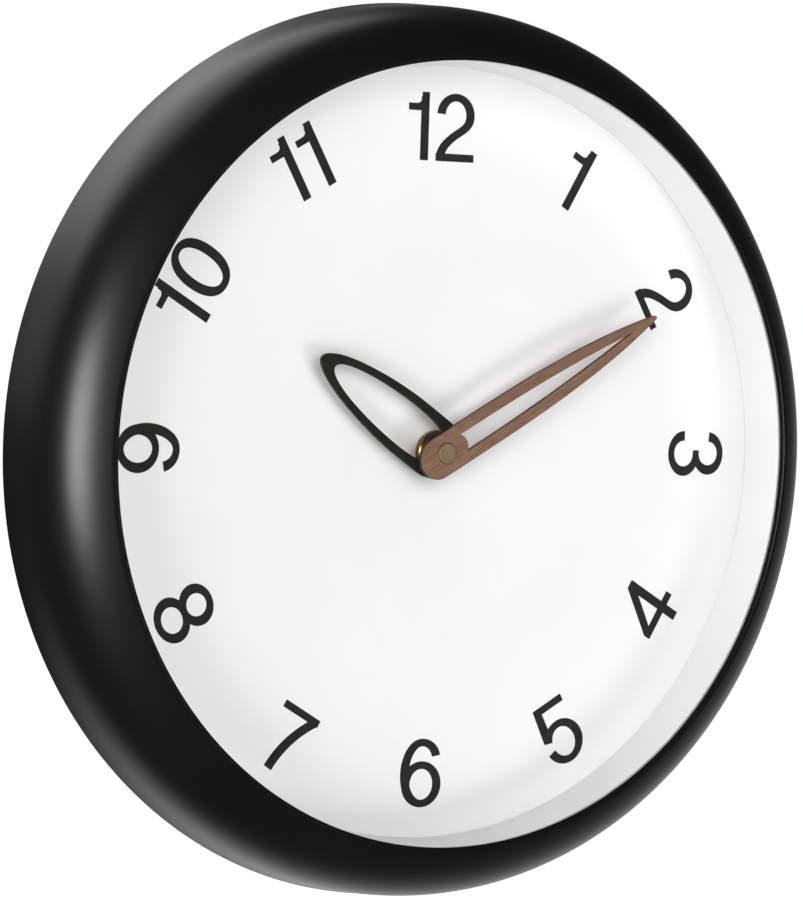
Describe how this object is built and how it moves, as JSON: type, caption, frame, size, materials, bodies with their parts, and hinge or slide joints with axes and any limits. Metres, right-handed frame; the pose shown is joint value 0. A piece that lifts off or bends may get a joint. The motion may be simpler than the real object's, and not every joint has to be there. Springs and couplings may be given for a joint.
{
  "type": "wall clock",
  "caption": "Round analogue wall clock with a deep rounded black case, white numbered dial, two loop-shaped wooden hands and a battery quartz movement behind.",
  "frame": {"origin": "hand axis at the dial's front face, which is also the middle of the case's depth", "axes": "+Z towards 12 o'clock, +Y from the dial towards the wall, +X towards 3 o'clock seen from the front"},
  "size_m": [0.3, 0.0404, 0.3],
  "materials": {
    "case_black": "satin black",
    "clear_glass": "clear, polished",
    "strip_white": "matt white",
    "dial_white": "matt white with charcoal numbers",
    "cover_black": "fine grained black",
    "zinc_steel": "zinc plated",
    "pad_rubber": "matt",
    "black_wood": "black stained, open grain",
    "walnut": "oiled, dark edges",
    "bush_brass": "turned",
    "cap_brass": "antique, fine turning rings",
    "nut_brass": "turned, bright",
    "wheel_plastic": "natural nylon",
    "knob_plastic": "natural nylon",
    "rotor_magnet": "dull grey magnet",
    "copper_wire": "enamelled copper wire",
    "board_green": "solder mask",
    "can_metal": "bright",
    "chip_black": "epoxy",
    "movement_black": "fine spark grain",
    "cell_jacket": "printed foil jacket"
  },
  "bodies": {
    "case": {"case_rim": "case_black", "glass_lens": "clear_glass", "inner_ring": "strip_white", "dial_plate": "dial_white", "back_cover": "cover_black", "hanger_plate": "zinc_steel", "bumper_1": "pad_rubber", "bumper_2": "pad_rubber", "dial_nut": "nut_brass", "dial_washer": "pad_rubber", "threaded_bush": "bush_brass", "train_bridge": "wheel_plastic", "stator_plate": "zinc_steel", "coil_core": "zinc_steel", "coil_bobbin": "wheel_plastic", "coil_winding": "copper_wire", "circuit_board": "board_green", "quartz_can": "can_metal", "chip_blob": "chip_black", "movement_front": "movement_black", "movement_rear": "movement_black", "contact_plus": "zinc_steel", "contact_minus": "zinc_steel", "dial_screw_1": "zinc_steel", "dial_screw_2": "zinc_steel", "dial_screw_3": "zinc_steel", "dial_screw_4": "zinc_steel", "cover_screw_1": "zinc_steel", "cover_screw_2": "zinc_steel", "cover_screw_3": "zinc_steel", "cover_screw_4": "zinc_steel", "cover_screw_5": "zinc_steel", "cover_screw_6": "zinc_steel", "hanger_screw_1": "zinc_steel", "hanger_screw_2": "zinc_steel"},
    "minute_hand_set": {"minute_hand": "walnut", "minute_bush": "bush_brass", "hand_cap": "cap_brass", "minute_arbor": "zinc_steel"},
    "hour_hand_set": {"hour_hand": "black_wood", "hour_bush": "bush_brass", "hour_wheel": "bush_brass"},
    "minute_wheel_set": {"minute_wheel": "wheel_plastic"},
    "knob_set": {"setting_knob": "knob_plastic"},
    "seconds_wheel_set": {"seconds_wheel": "wheel_plastic"},
    "third_wheel_set": {"third_wheel": "wheel_plastic"},
    "centre_wheel_set": {"centre_wheel": "bush_brass", "clutch_spring": "zinc_steel"},
    "intermediate_wheel_set": {"intermediate_wheel": "wheel_plastic"},
    "rotor_set": {"rotor": "rotor_magnet"},
    "battery_set": {"battery_cell": "cell_jacket"}
  },
  "joints": [
    {"name": "minute_turn", "type": "hinge", "parent": "case", "child": "minute_hand_set", "pos_m": [0, 0, 0], "axis": [0, 1, 0], "continuous": true},
    {"name": "hour_turn", "type": "hinge", "parent": "case", "child": "hour_hand_set", "pos_m": [0, 0, 0], "axis": [0, 1, 0], "continuous": true},
    {"name": "minute_wheel_turn", "type": "hinge", "parent": "case", "child": "minute_wheel_set", "pos_m": [0.0094, 0, 0.00342], "axis": [0, 1, 0], "continuous": true},
    {"name": "knob_turn", "type": "hinge", "parent": "case", "child": "knob_set", "pos_m": [0.01925, 0, 0.00168], "axis": [0, 1, 0], "continuous": true},
    {"name": "seconds_turn", "type": "hinge", "parent": "case", "child": "seconds_wheel_set", "pos_m": [0, 0, 0], "axis": [0, 1, 0], "continuous": true},
    {"name": "third_turn", "type": "hinge", "parent": "case", "child": "third_wheel_set", "pos_m": [-0.00779, 0, 0.0045], "axis": [0, 1, 0], "continuous": true},
    {"name": "centre_turn", "type": "hinge", "parent": "case", "child": "centre_wheel_set", "pos_m": [0, 0, 0], "axis": [0, 1, 0], "continuous": true},
    {"name": "intermediate_turn", "type": "hinge", "parent": "case", "child": "intermediate_wheel_set", "pos_m": [0.00156, 0, 0.00886], "axis": [0, 1, 0], "continuous": true},
    {"name": "rotor_turn", "type": "hinge", "parent": "case", "child": "rotor_set", "pos_m": [0.00456, 0, 0.01406], "axis": [0, 1, 0], "continuous": true},
    {"name": "battery_slide", "type": "slide", "parent": "case", "child": "battery_set", "axis": [0, 1, 0], "range_m": [0, 0.02]}
  ],
  "couplings": [
    {"joint": "hour_turn", "follows": "minute_turn", "ratio": 0.083333},
    {"joint": "minute_wheel_turn", "follows": "minute_turn", "ratio": -0.33333},
    {"joint": "knob_turn", "follows": "minute_turn", "ratio": 1},
    {"joint": "third_turn", "follows": "seconds_turn", "ratio": -0.13333},
    {"joint": "centre_turn", "follows": "seconds_turn", "ratio": 0.016667},
    {"joint": "intermediate_turn", "follows": "seconds_turn", "ratio": -6},
    {"joint": "rotor_turn", "follows": "seconds_turn", "ratio": 30}
  ]
}
